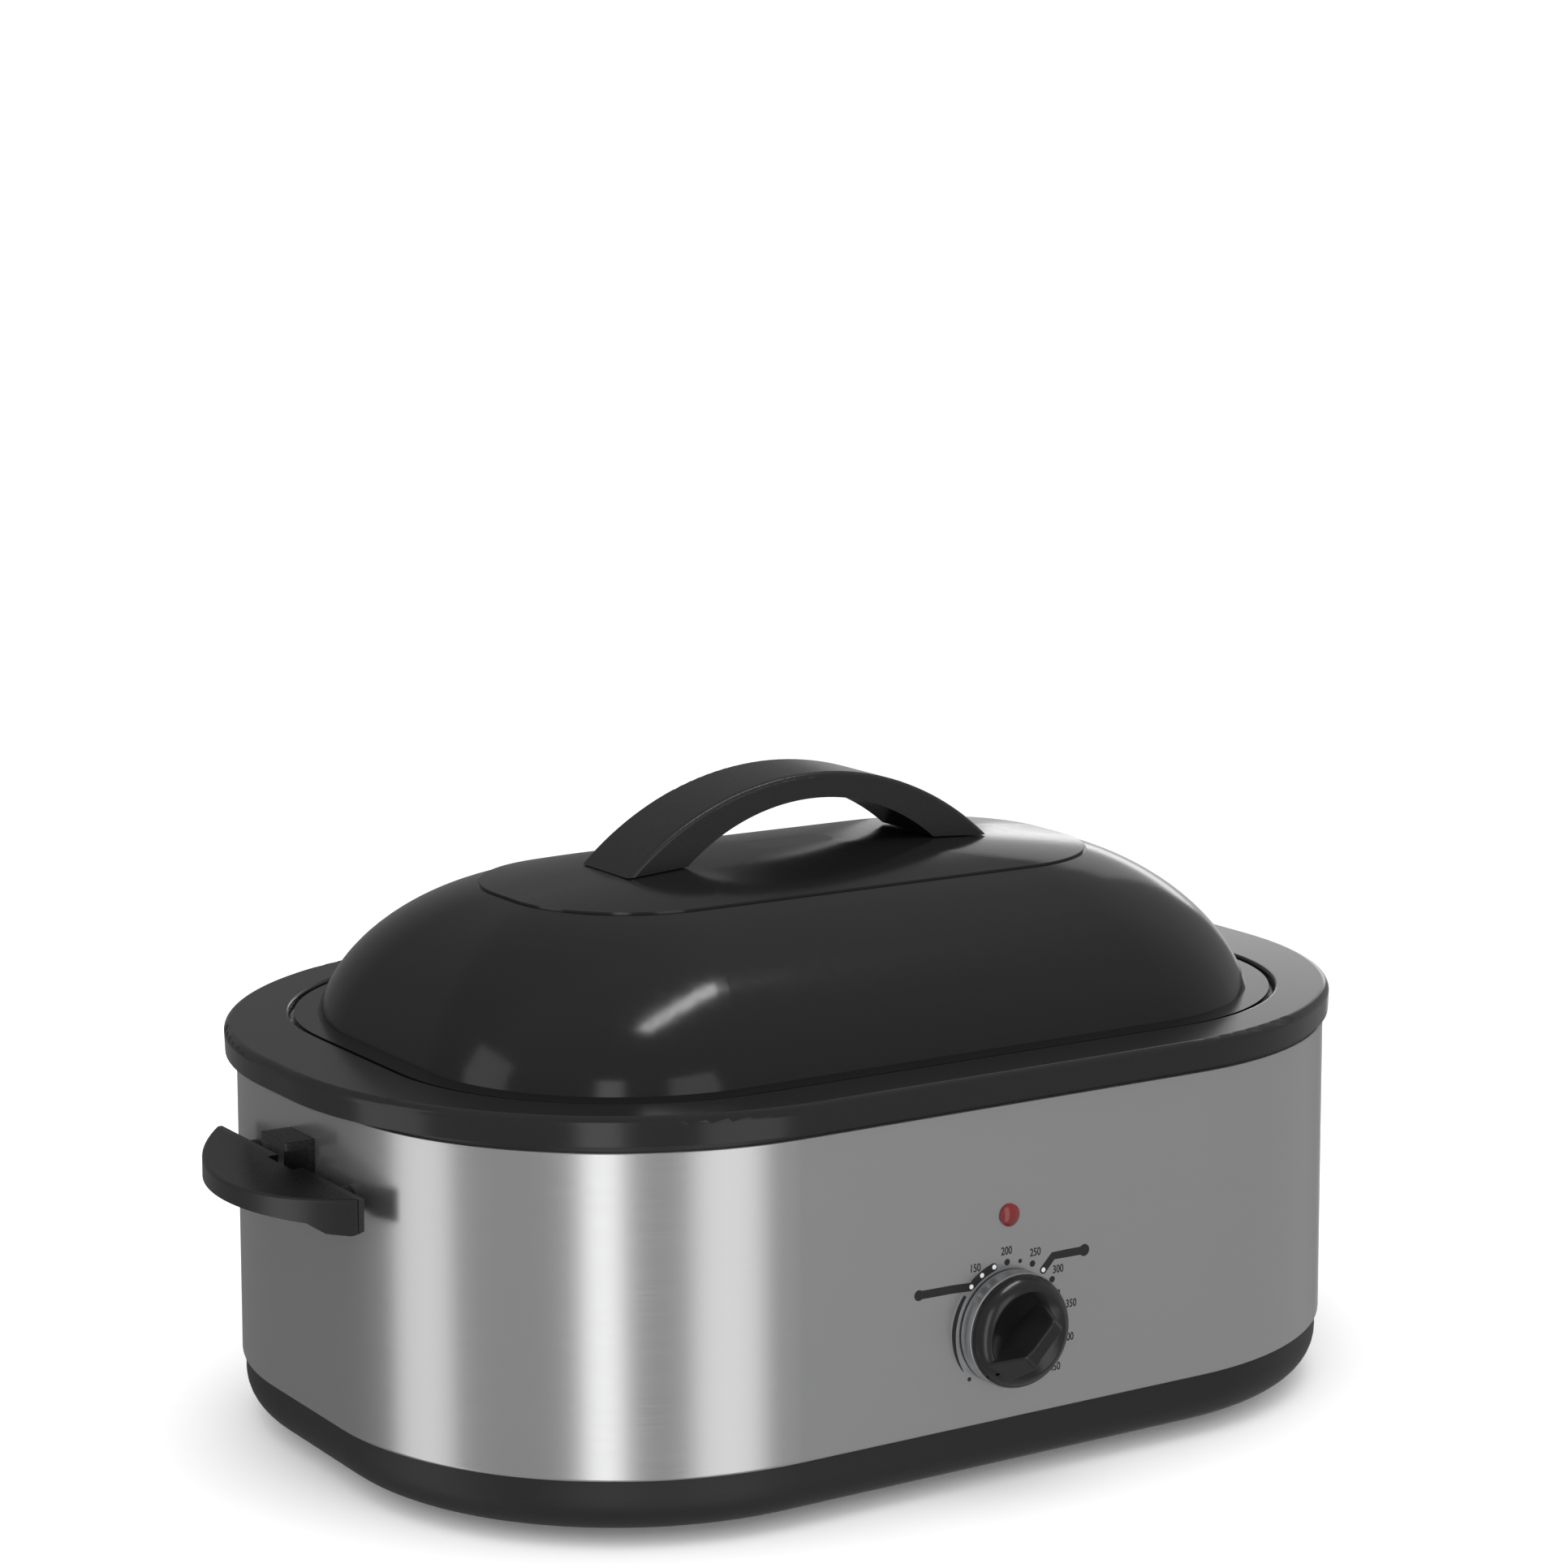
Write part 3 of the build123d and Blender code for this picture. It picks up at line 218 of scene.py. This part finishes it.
def finishes(settings):
    """Every finish by the name of the record's material slot, and the dial's two inks."""
    plastic = tuple(settings.plastic_colour)
    return {
        # cold-rolled stainless sheet, brushed along its length: its fine scratches scatter a
        # little light all round
        "brushed_steel": finish_of(
            "Brushed Steel",
            tuple(settings.steel_colour),
            rough=(0.23, 0.27),
            grain=(30, 30, 0.4),
            change=0.02,
            relief=0.0014,
            sockets={"Metallic": 0.93},
        ),
        # rolled stainless edge band, polished along its length: bright with faint long streaks
        "band_steel": finish_of(
            "Band Steel",
            srgb("#a6a6a6"),
            rough=(0.18, 0.26),
            grain=(40, 40, 0.4),
            change=0.04,
            relief=0.004,
            sockets={"Metallic": 1.0},
        ),
        # porcelain enamel fired on steel: glassy with a slight orange peel, duller in the well
        # and the pan than on the lid. The well's and the pan's enamel is painted lighter than the
        # lid's: painted light that stands in for the light inside the well
        "liner_enamel": finish_of(
            "Liner Enamel",
            srgb("#202020"),
            rough=(0.24, 0.27),
            grain=(3, 3, 3),
            change=0.05,
            relief=0.004,
            sockets={"Specular IOR Level": 0.3},
        ),
        # the pan's enamel too is painted lighter than the lid's: painted light inside the well
        "pan_enamel": finish_of(
            "Pan Enamel",
            srgb("#1b1b1b"),
            rough=(0.16, 0.19),
            grain=(3, 3, 3),
            change=0.05,
            relief=0.004,
            sockets={"Specular IOR Level": 0.32},
        ),
        "lid_enamel": finish_of(
            "Lid Enamel",
            tuple(settings.enamel_colour),
            rough=(0.14, 0.17),
            grain=(4, 4, 4),
            change=0.05,
            relief=0.004,
            sockets={"Specular IOR Level": 0.36},
        ),
        # baked satin paint on pressed steel: an even, soft sheen
        "trim_paint": finish_of(
            "Trim Paint",
            plastic,
            rough=(0.34, 0.38),
            grain=(1.2, 1.2, 1.2),
            change=0.06,
            relief=0.003,
            sockets={"IOR": 1.46},
        ),
        # glass-filled nylon moulded in a finely sparked tool: dull with a fine, even grain
        "tray_plastic": finish_of(
            "Tray Plastic",
            plastic,
            rough=(0.42, 0.52),
            grain=(0.5, 0.5, 0.5),
            change=0.1,
            relief=0.02,
            sockets={"IOR": 1.46},
        ),
        # phenolic moulded in a satin tool: smooth, with broad soft highlights
        "handle_plastic": finish_of(
            "Handle Plastic",
            plastic,
            rough=(0.25, 0.33),
            grain=(0.6, 0.6, 0.6),
            change=0.1,
            relief=0.008,
            sockets={"IOR": 1.5},
        ),
        # ABS moulded in a polished tool: glossy, with slight flow marks
        "knob_plastic": finish_of(
            "Knob Plastic",
            srgb("#131313"),
            rough=(0.19, 0.25),
            grain=(2, 2, 2),
            change=0.1,
            relief=0.006,
            sockets={"IOR": 1.5},
        ),
        # ABS painted with fine aluminium flake: silvery but not mirror bright
        "ring_silver": finish_of(
            "Silver Paint",
            srgb("#a2a3a5"),
            rough=(0.34, 0.44),
            grain=(0.15, 0.15, 0.15),
            change=0.1,
            relief=0.004,
            sockets={"Metallic": 0.9},
        ),
        # clear dyed polycarbonate, moulded glossy: dark red, with its unlit lamp tube behind it
        "lens_red": finish_of(
            "Red Lens",
            tuple(settings.lens_colour),
            rough=(0.16, 0.2),
            grain=(1.5, 1.5, 1.5),
            change=0.12,
            relief=0.004,
            sockets={"IOR": 1.58},
        ),
        # moulded rubber pad: matt and a little uneven
        "foot_rubber": finish_of(
            "Foot Rubber",
            srgb("#1a1a1a"),
            rough=(0.6, 0.75),
            grain=(0.4, 0.4, 0.4),
            change=0.15,
            relief=0.03,
            sockets={"IOR": 1.5},
        ),
        # bright nickel plating on drawn wire, with soft highlights along each wire; its pale
        # look is partly painted: at metallic 0.6 a matt near-white share of its colour is a
        # painted reflection of the plating's bright shine
        "rack_chrome": finish_of(
            "Rack Nickel",
            srgb("#f2f1eb"),
            rough=(0.26, 0.32),
            grain=(6, 6, 6),
            change=0.02,
            relief=0.002,
            sockets={"Metallic": 0.6},
        ),
        # zinc plated cold-headed steel: bluish grey with a fine mottle
        "screw_steel": finish_of(
            "Screw Steel",
            srgb("#a8abad"),
            rough=(0.25, 0.38),
            grain=(0.6, 0.6, 0.6),
            change=0.08,
            relief=0.006,
            sockets={"Metallic": 1.0},
        ),
        # hot-dip galvanised sheet: grey with a coarse spangle
        "shield_steel": finish_of(
            "Galvanised Sheet",
            srgb("#9ea1a3"),
            rough=(0.3, 0.48),
            grain=(9, 9, 9),
            change=0.12,
            relief=0.006,
            sockets={"Metallic": 1.0},
        ),
        # needled glass-fibre blanket: matt and fluffy
        "blanket_fibre": finish_of(
            "Glass Fibre",
            srgb("#d6cfbc"),
            rough=(0.85, 0.98),
            grain=(1.2, 1.2, 0.5),
            change=0.15,
            relief=0.3,
            sockets={"IOR": 1.5},
        ),
        # woven glass braid over the heating wire: matt with a fine weave
        "cord_braid": finish_of(
            "Heater Braid",
            srgb("#cdc6b5"),
            rough=(0.75, 0.9),
            grain=(0.6, 0.6, 0.6),
            change=0.2,
            relief=0.1,
            sockets={"IOR": 1.5},
        ),
        # brown phenolic moulding: half dull, with its filler showing
        "phenolic": finish_of(
            "Phenolic",
            srgb("#3b2c22"),
            rough=(0.4, 0.55),
            grain=(0.8, 0.8, 0.8),
            change=0.2,
            relief=0.02,
            sockets={"IOR": 1.6},
        ),
        # off-white melamine moulding: hard and half glossy
        "terminal_plastic": finish_of(
            "Terminal Melamine",
            srgb("#dcd8cd"),
            rough=(0.3, 0.42),
            grain=(0.8, 0.8, 0.8),
            change=0.05,
            relief=0.01,
            sockets={"IOR": 1.55},
        ),
        # black nylon, moulded as a bushing: a waxy half gloss
        "gland_plastic": finish_of(
            "Gland Nylon",
            srgb("#191919"),
            rough=(0.4, 0.5),
            grain=(0.5, 0.5, 0.5),
            change=0.1,
            relief=0.015,
            sockets={"IOR": 1.53},
        ),
        # epoxy ink, screen-printed on the steel: thin, flat and nearly matt
        "ink": finish_of(
            "Black Ink",
            tuple(settings.ink_colour),
            rough=(0.45, 0.6),
            grain=(0.3, 0.3, 0.3),
            change=0.1,
            relief=0.003,
            sockets={"IOR": 1.5},
        ),
        "white_ink": finish_of(
            "White Ink",
            srgb("#d8d8d8"),
            rough=(0.5, 0.6),
            grain=(0.3, 0.3, 0.3),
            change=0.04,
            relief=0.003,
            sockets={"IOR": 1.5},
        ),
    }


class ROASTER_OT_finishes(bpy.types.Operator):
    """Give every CAD node the finish of its material slot"""

    bl_idname = "roaster.finishes"
    bl_label = "Apply Finishes"

    def execute(self, context):
        made = finishes(context.scene.roaster)
        for part in frame["record"]["subparts"]:
            node = frame["nodes"][part["node"]]
            for slot in node.material_slots:
                slot.material = made[part["material_slot"]]
        return {"FINISHED"}


# ------------------------------------------------------------ dial printing

DIAL_CENTRE = Vector((0.0, -178.0 * MM, 71.7 * MM))  # on the casing's front, on the knob's axis

# the scale: each step of temperature turns the knob by the same angle, in degrees
FIRST_VALUE, FIRST_ANGLE = 200, -1.9
STEP_VALUE, STEP_ANGLE = 25, 13.85

# which temperatures have a dot of each kind
BIG_DOTS = (200, 250, 300, 350, 400, 450)
SMALL_DOTS = (225, 325, 375, 425)
PALE_DOTS = (125, 150, 175, 275)
LAST_DOT_ANGLE = -134.3  # one more small dot, past the thin end of the wedge

# radii of the dots, in millimetres
BIG_DOT, SMALL_DOT, PALE_DOT = 1.45, 0.95, 1.05

# the two bars, in millimetres: points (x, z) away from the circle of dots, width of the line, and
# radii of the discs at the outer and the inner end
WARM_BAR = ((-47.0, 93.3), (-30.0, 93.1))
WARM_WIDTH, WARM_OUTER, WARM_INNER = 3.7, 2.4, 1.85
WARM_BEND = [k * 3.0 for k in range(10)]  # degrees that it follows the circle, from its first mark
THAW_BAR = ((23.6, 99.3), (31.0, 99.3), (40.4, 99.2))
THAW_WIDTH, THAW_OUTER, THAW_INNER = 3.6, 2.7, 1.8
BAR_STEP = 0.002  # millimetres between the shapes of a bar that lie over each other
PALE_LIFT = 0.012  # millimetres from the black ink to the pale ink over it

# the low-heat wedge along the circle: degrees where it starts and that it covers, and its width
# at the tip and what its belly adds, in millimetres
WEDGE_START, WEDGE_TURN = -53, 71
WEDGE_TIP, WEDGE_BELLY = 0.35, 1.75
WEDGE_STEPS = 24

# turn of each number's centre, in degrees
NUMBERS = {150: -31.8, 200: -2.2, 250: 24.5, 300: 51.1, 350: 82.2, 400: 108.1, 450: 132.2}
NUMBER_NARROWING = 0.78  # width of the condensed figures, as a share of the font's
INK_SPREAD = 0.07  # millimetres that the ink spreads past its stencil


def dial_angle(value):
    """Turn of a temperature on the dial, in degrees clockwise from the top."""
    return FIRST_ANGLE + (value - FIRST_VALUE) / STEP_VALUE * STEP_ANGLE


def on_dial(angle, radius):
    """(x, z) on the casing's front at a turn and a radius."""
    turn = math.radians(angle)
    return (DIAL_CENTRE.x + radius * math.sin(turn), DIAL_CENTRE.z + radius * math.cos(turn))


def circle(centre, radius, count=32):
    """Outline of a disc in (x, z)."""
    turns = [2 * math.pi * k / count for k in range(count)]
    return [(centre[0] + radius * math.sin(t), centre[1] + radius * math.cos(t)) for t in turns]


def dots(values, dial_radius, radius):
    """Outlines of the dots at some temperatures."""
    return [circle(on_dial(dial_angle(value), dial_radius), radius * MM) for value in values]


def stroke(points, widths):
    """Outline of a pen stroke along (x, z) points, each with its own width, with flat ends."""
    left, right = [], []
    for k, (x, z) in enumerate(points):
        before, after = points[max(k - 1, 0)], points[min(k + 1, len(points) - 1)]
        way = Vector((after[0] - before[0], after[1] - before[1])).normalized()
        side = Vector((-way.y, way.x)) * widths[k] / 2
        left.append((x + side.x, z + side.y))
        right.append((x - side.x, z - side.y))
    return left + right[::-1]


def bar(points, width, first_disc, last_disc):
    """Outlines of a bar of even width along (x, z) points, and of the discs at its two ends."""
    return [
        stroke(points, [width * MM] * len(points)),
        circle(points[0], first_disc * MM),
        circle(points[-1], last_disc * MM),
    ]


def printed(name, outlines, ink, depth, lift=0.0):
    """Ink on the casing's front: flat shapes given by their (x, z) outlines."""
    mesh = bpy.data.meshes.new(name)
    shapes = bmesh.new()
    for outline in outlines:
        under = [shapes.verts.new((x, DIAL_CENTRE.y - lift, z)) for x, z in outline]
        face = shapes.faces.new(under)
        raised = bmesh.ops.extrude_face_region(shapes, geom=[face])["geom"]
        moved = [part for part in raised if isinstance(part, bmesh.types.BMVert)]
        bmesh.ops.translate(shapes, verts=moved, vec=(0, -depth, 0))
    bmesh.ops.recalc_face_normals(shapes, faces=shapes.faces)
    shapes.to_mesh(mesh)
    shapes.free()
    piece = bpy.data.objects.new(name, mesh)
    bpy.context.collection.objects.link(piece)
    mesh.materials.append(bpy.data.materials[ink])
    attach(piece, "base")


class ROASTER_OT_dial_marks(bpy.types.Operator):
    """Print the dial's dots, bars and low-heat wedge round the knob"""

    bl_idname = "roaster.dial_marks"
    bl_label = "Print Dial Marks"

    def execute(self, context):
        settings = context.scene.roaster
        radius, depth = settings.dial_radius, settings.print_thickness

        black = dots(BIG_DOTS, radius, BIG_DOT) + dots(SMALL_DOTS, radius, SMALL_DOT)
        black.append(circle(on_dial(LAST_DOT_ANGLE, radius), SMALL_DOT * MM))
        printed("dial_dots", black, "Black Ink", depth)

        # one bar runs from its disc to the first three marks and along their circle, the other
        # from a later mark out to its disc
        first, later = dial_angle(PALE_DOTS[0]), dial_angle(PALE_DOTS[-1])
        warm = [(x * MM, z * MM) for x, z in WARM_BAR]
        warm += [on_dial(first + turn, radius) for turn in WARM_BEND]
        thaw = [on_dial(later, radius), *[(x * MM, z * MM) for x, z in THAW_BAR]]
        bars = bar(warm, WARM_WIDTH, WARM_OUTER, WARM_INNER)
        bars += bar(thaw, THAW_WIDTH, THAW_INNER, THAW_OUTER)
        for number, shape in enumerate(bars):
            printed(f"dial_bar_{number}", [shape], "Black Ink", depth, number * BAR_STEP * MM)

        parts = range(WEDGE_STEPS + 1)
        wedge = [on_dial(WEDGE_START - WEDGE_TURN * k / WEDGE_STEPS, radius) for k in parts]
        # widest a third of the way along, then narrowing to its tip
        belly = [math.sin(math.pi * (0.25 + 0.75 * k / WEDGE_STEPS)) for k in parts]
        wide = [(WEDGE_TIP + WEDGE_BELLY * share) * MM for share in belly]
        printed("dial_wedge", [stroke(wedge, wide)], "Black Ink", depth)

        pale = dots(PALE_DOTS, radius, PALE_DOT)
        printed("dial_pale_dots", pale, "White Ink", depth / 2, depth + PALE_LIFT * MM)
        return {"FINISHED"}


class ROASTER_OT_dial_numbers(bpy.types.Operator):
    """Print the dial's plain numbers"""

    bl_idname = "roaster.dial_numbers"
    bl_label = "Print Dial Numbers"

    def execute(self, context):
        settings = context.scene.roaster
        for value, angle in NUMBERS.items():
            x, z = on_dial(angle, settings.number_radius)
            curve = bpy.data.curves.new(f"dial_number_{value}", "FONT")
            curve.body = str(value)
            curve.size = settings.number_size
            curve.align_x, curve.align_y = "CENTER", "CENTER"
            curve.extrude = settings.print_thickness / 2
            curve.offset = INK_SPREAD * MM
            piece = bpy.data.objects.new(curve.name, curve)
            context.collection.objects.link(piece)
            piece.location = (x, DIAL_CENTRE.y - settings.print_thickness / 2, z)
            piece.rotation_euler = (math.radians(90), 0, 0)
            piece.scale = (NUMBER_NARROWING, 1.0, 1.0)
            curve.materials.append(bpy.data.materials["Black Ink"])
            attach(piece, "base")
        return {"FINISHED"}


# -------------------------------------------------------------------- stage

FLOOR_SIZE = 6.0
FLOOR_FADE = 0.7  # the paper has faded out at one over this, in metres from the object
FADE_SHARE = 0.45  # share of that distance over which it fades
FLOOR_LIFT = 0.1  # light that the paper adds for the camera, so that it ends in white
FIBRE_SCALE = 400.0  # fibres of the paper in a metre
FIBRE_DARK, FIBRE_LIGHT = 0.9, 0.94  # how white they are

ROOM_LIGHT = 1.1
WALL_FRONT, WALL_BACK = 0.4, 0.2  # how light gloss and steel see the walls

# the lamps, in metres: how far off they stand, the height that they aim at, and the height and
# length of the tall strips, with each one's azimuth in degrees, width and radiance
LAMP_DISTANCE = 2.6
AIM_HEIGHT = 0.12
STRIP_HEIGHT, STRIP_LENGTH = -0.3, 4.0
STRIPS = {
    "strip_far_left": (-104, 1.1, 0.98),
    "strip_left": (-40, 0.58, 2.0),
    "strip_front": (2, 1.15, 1.1),
    "strip_far_right": (135, 1.0, 0.5),
}
WINDOW_PLACE, WINDOW_TURN = (0.30, -0.63, 2.35), 26  # degrees round the upright
LIT_BY_WINDOW = (
    "lid_shell",
    "lid_handle",
    "knob",
    "indicator_lens",
    "side_handle_left",
    "side_handle_right",
)

CAMERA_PLACE = (-0.98387, -1.55327, 0.60856)
CAMERA_TIP, CAMERA_TURN = 0.136, -0.575  # radians below the horizon, and round the upright
CAMERA_SHIFT = (-0.0288, -0.1)
PICTURE_WIDTH = 1932  # pixels
FOCAL_PIXELS = 4965.7  # focal length in those pixels
SENSOR_WIDTH = 36.0  # millimetres


def studio_plane(name, width, height, material):
    """A flat rectangle for the stage, in its own X and Y."""
    mesh = bpy.data.meshes.new(name)
    sides = ((-1, -1), (1, -1), (1, 1), (-1, 1))
    corners = [(x * width / 2, y * height / 2, 0) for x, y in sides]
    mesh.from_pydata(corners, [], [(0, 1, 2, 3)])
    mesh.materials.append(material)
    plane = bpy.data.objects.new(name, mesh)
    bpy.context.collection.objects.link(plane)


def studio_paper():
    """Matt white paper that fades out into the white round it, and that gloss doesn't see."""
    paper = bpy.data.materials.new("Studio Paper")
    paper.use_nodes = True
    tree = paper.node_tree
    tree.nodes.clear()
    place = add(tree, "ShaderNodeTexCoord").outputs["Object"]
    rays = add(tree, "ShaderNodeLightPath")

    fibre = add(tree, "ShaderNodeTexNoise", {"Vector": place, "Scale": FIBRE_SCALE, "Detail": 2.0})
    shade = add(
        tree,
        "ShaderNodeMapRange",
        {"Value": fibre.outputs["Fac"], "To Min": FIBRE_DARK, "To Max": FIBRE_LIGHT},
    )
    white = add(tree, "ShaderNodeBsdfDiffuse", {"Color": shade.outputs["Result"]})
    lift = add(
        tree,
        "ShaderNodeMath",
        {0: rays.outputs["Is Camera Ray"], 1: FLOOR_LIFT},
        operation="MULTIPLY",
    )
    glow = add(tree, "ShaderNodeEmission", {"Strength": lift.outputs["Value"]})
    lit = add(
        tree,
        "ShaderNodeAddShader",
        {0: white.outputs["BSDF"], 1: glow.outputs["Emission"]},
    )

    size = add(tree, "ShaderNodeMapping", {"Vector": place, "Scale": [FLOOR_FADE] * 3})
    fade = add(
        tree,
        "ShaderNodeTexGradient",
        {"Vector": size.outputs["Vector"]},
        gradient_type="SPHERICAL",
    )
    edge = add(
        tree,
        "ShaderNodeMapRange",
        {"Value": fade.outputs["Fac"], "From Min": 0.0, "From Max": FADE_SHARE},
    )
    unseen = add(
        tree,
        "ShaderNodeMath",
        {0: 1.0, 1: rays.outputs["Is Glossy Ray"]},
        operation="SUBTRACT",
    )
    weight = add(
        tree,
        "ShaderNodeMath",
        {0: edge.outputs["Result"], 1: unseen.outputs["Value"]},
        operation="MULTIPLY",
    )
    clear = add(tree, "ShaderNodeBsdfTransparent")
    mix = add(
        tree,
        "ShaderNodeMixShader",
        {"Fac": weight.outputs["Value"], 1: clear.outputs["BSDF"], 2: lit.outputs["Shader"]},
    )
    add(tree, "ShaderNodeOutputMaterial", {"Surface": mix.outputs["Shader"]})
    return paper


def studio_room():
    """A white room. Gloss and steel see its grey walls, which darken behind the object."""
    world = bpy.data.worlds.new("Studio")
    world.use_nodes = True
    tree = world.node_tree
    room = tree.nodes["Background"]
    room.inputs["Color"].default_value = WHITE
    room.inputs["Strength"].default_value = ROOM_LIGHT
    way = add(tree, "ShaderNodeTexCoord")
    parts = add(tree, "ShaderNodeSeparateXYZ", {"Vector": way.outputs["Generated"]})
    shade = add(
        tree,
        "ShaderNodeMapRange",
        {
            "Value": parts.outputs["Y"],
            "From Min": 0.2,
            "From Max": 0.8,
            "To Min": WALL_FRONT,
            "To Max": WALL_BACK,
        },
    )
    walls = add(
        tree,
        "ShaderNodeBackground",
        {"Color": WHITE, "Strength": shade.outputs["Result"]},
    )
    rays = add(tree, "ShaderNodeLightPath")
    mix = add(
        tree,
        "ShaderNodeMixShader",
        {
            "Fac": rays.outputs["Is Glossy Ray"],
            1: room.outputs["Background"],
            2: walls.outputs["Background"],
        },
    )
    tree.links.new(mix.outputs["Shader"], tree.nodes["World Output"].inputs["Surface"])
    return world


def soft_lamp(name, size, radiance):
    """A rectangular lamp that the camera doesn't see, with the same radiance at any size."""
    light = bpy.data.lights.new(name, "AREA")
    light.shape = "RECTANGLE"
    light.size, light.size_y = size
    light.energy = radiance * math.pi * size[0] * size[1]
    lamp = bpy.data.objects.new(name, light)
    lamp.rotation_mode = "QUATERNION"
    lamp.visible_camera = False
    bpy.context.collection.objects.link(lamp)
    return lamp


def softbox(name, azimuth, distance, height, size, radiance):
    """A soft light that faces the object.

    Azimuth 0 stands in front of the dial, 90 at its right."""
    lamp = soft_lamp(name, size, radiance)
    turn = math.radians(azimuth)
    lamp.location = (distance * math.sin(turn), -distance * math.cos(turn), height)
    aim = Vector((0, 0, min(height, AIM_HEIGHT))) - lamp.location
    lamp.rotation_quaternion = aim.to_track_quat("-Z", "Y")
    return lamp


def shine_on(lamp, names):
    """Let a lamp light only some CAD nodes."""
    lit = bpy.data.collections.new(f"{lamp.name}_lit")
    for name in names:
        lit.objects.link(frame["nodes"][name])
    lamp.light_linking.receiver_collection = lit


def studio_lamps():
    """An overhead light, a window strip that draws the lid's streak, and lights all round."""
    overhead = softbox("overhead", 0, distance=0.35, height=2.6, size=(2.6, 2.0), radiance=1.2)
    overhead.visible_glossy = False

    window = soft_lamp("window", size=(1.5, 0.22), radiance=13.0)
    window.location = WINDOW_PLACE
    window.rotation_quaternion = Quaternion((0, 0, 1), math.radians(WINDOW_TURN))
    shine_on(window, LIT_BY_WINDOW)

    softbox("backlight", 133, LAMP_DISTANCE, height=0.5, size=(0.8, 0.3), radiance=1.65)
    # these draw the upright bright bands in the steel
    for name, (azimuth, width, radiance) in STRIPS.items():
        softbox(name, azimuth, LAMP_DISTANCE, STRIP_HEIGHT, (width, STRIP_LENGTH), radiance)


def studio_camera():
    """The camera, from the front and a little to the left of the object."""
    data = bpy.data.cameras.new("camera")
    camera = bpy.data.objects.new("camera", data)
    bpy.context.collection.objects.link(camera)
    camera.location = CAMERA_PLACE
    camera.rotation_euler = Euler((math.radians(90) - CAMERA_TIP, 0.0, CAMERA_TURN))
    data.sensor_width = SENSOR_WIDTH
    data.lens = FOCAL_PIXELS / PICTURE_WIDTH * SENSOR_WIDTH
    data.shift_x, data.shift_y = CAMERA_SHIFT
    data.clip_end = 20.0
    return camera


class ROASTER_OT_stage(bpy.types.Operator):
    """Build the pale floor, the soft studio light and the camera"""

    bl_idname = "roaster.stage"
    bl_label = "Build Stage"

    def execute(self, context):
        scene = context.scene
        studio_plane("floor", FLOOR_SIZE, FLOOR_SIZE, studio_paper())
        scene.world = studio_room()
        studio_lamps()
        scene.camera = studio_camera()
        scene.view_settings.view_transform = "Standard"
        return {"FINISHED"}


# -------------------------------------------------------------------- panel


class ROASTER_PT_panel(bpy.types.Panel):
    """Sizes, colours and build steps of the roaster"""

    bl_idname = "ROASTER_PT_panel"
    bl_label = "Roaster"
    bl_space_type = "VIEW_3D"
    bl_region_type = "UI"
    bl_category = "Roaster"

    def draw(self, context):
        layout = self.layout
        for name in RoasterSettings.__annotations__:
            layout.prop(context.scene.roaster, name)
        for operator in OPERATORS:
            layout.operator(operator.bl_idname)


OPERATORS = (ROASTER_OT_finishes, ROASTER_OT_dial_marks, ROASTER_OT_dial_numbers, ROASTER_OT_stage)
CLASSES = (RoasterSettings, *OPERATORS, ROASTER_PT_panel)


def register():
    for cls in CLASSES:
        bpy.utils.register_class(cls)
    bpy.types.Scene.roaster = PointerProperty(type=RoasterSettings)


def unregister():
    del bpy.types.Scene.roaster
    for cls in reversed(CLASSES):
        bpy.utils.unregister_class(cls)


def main():
    register()
    bpy.ops.roaster.finishes()
    bpy.ops.roaster.dial_marks()
    bpy.ops.roaster.dial_numbers()
    bpy.ops.roaster.stage()


if __name__ == "__main__":
    main()
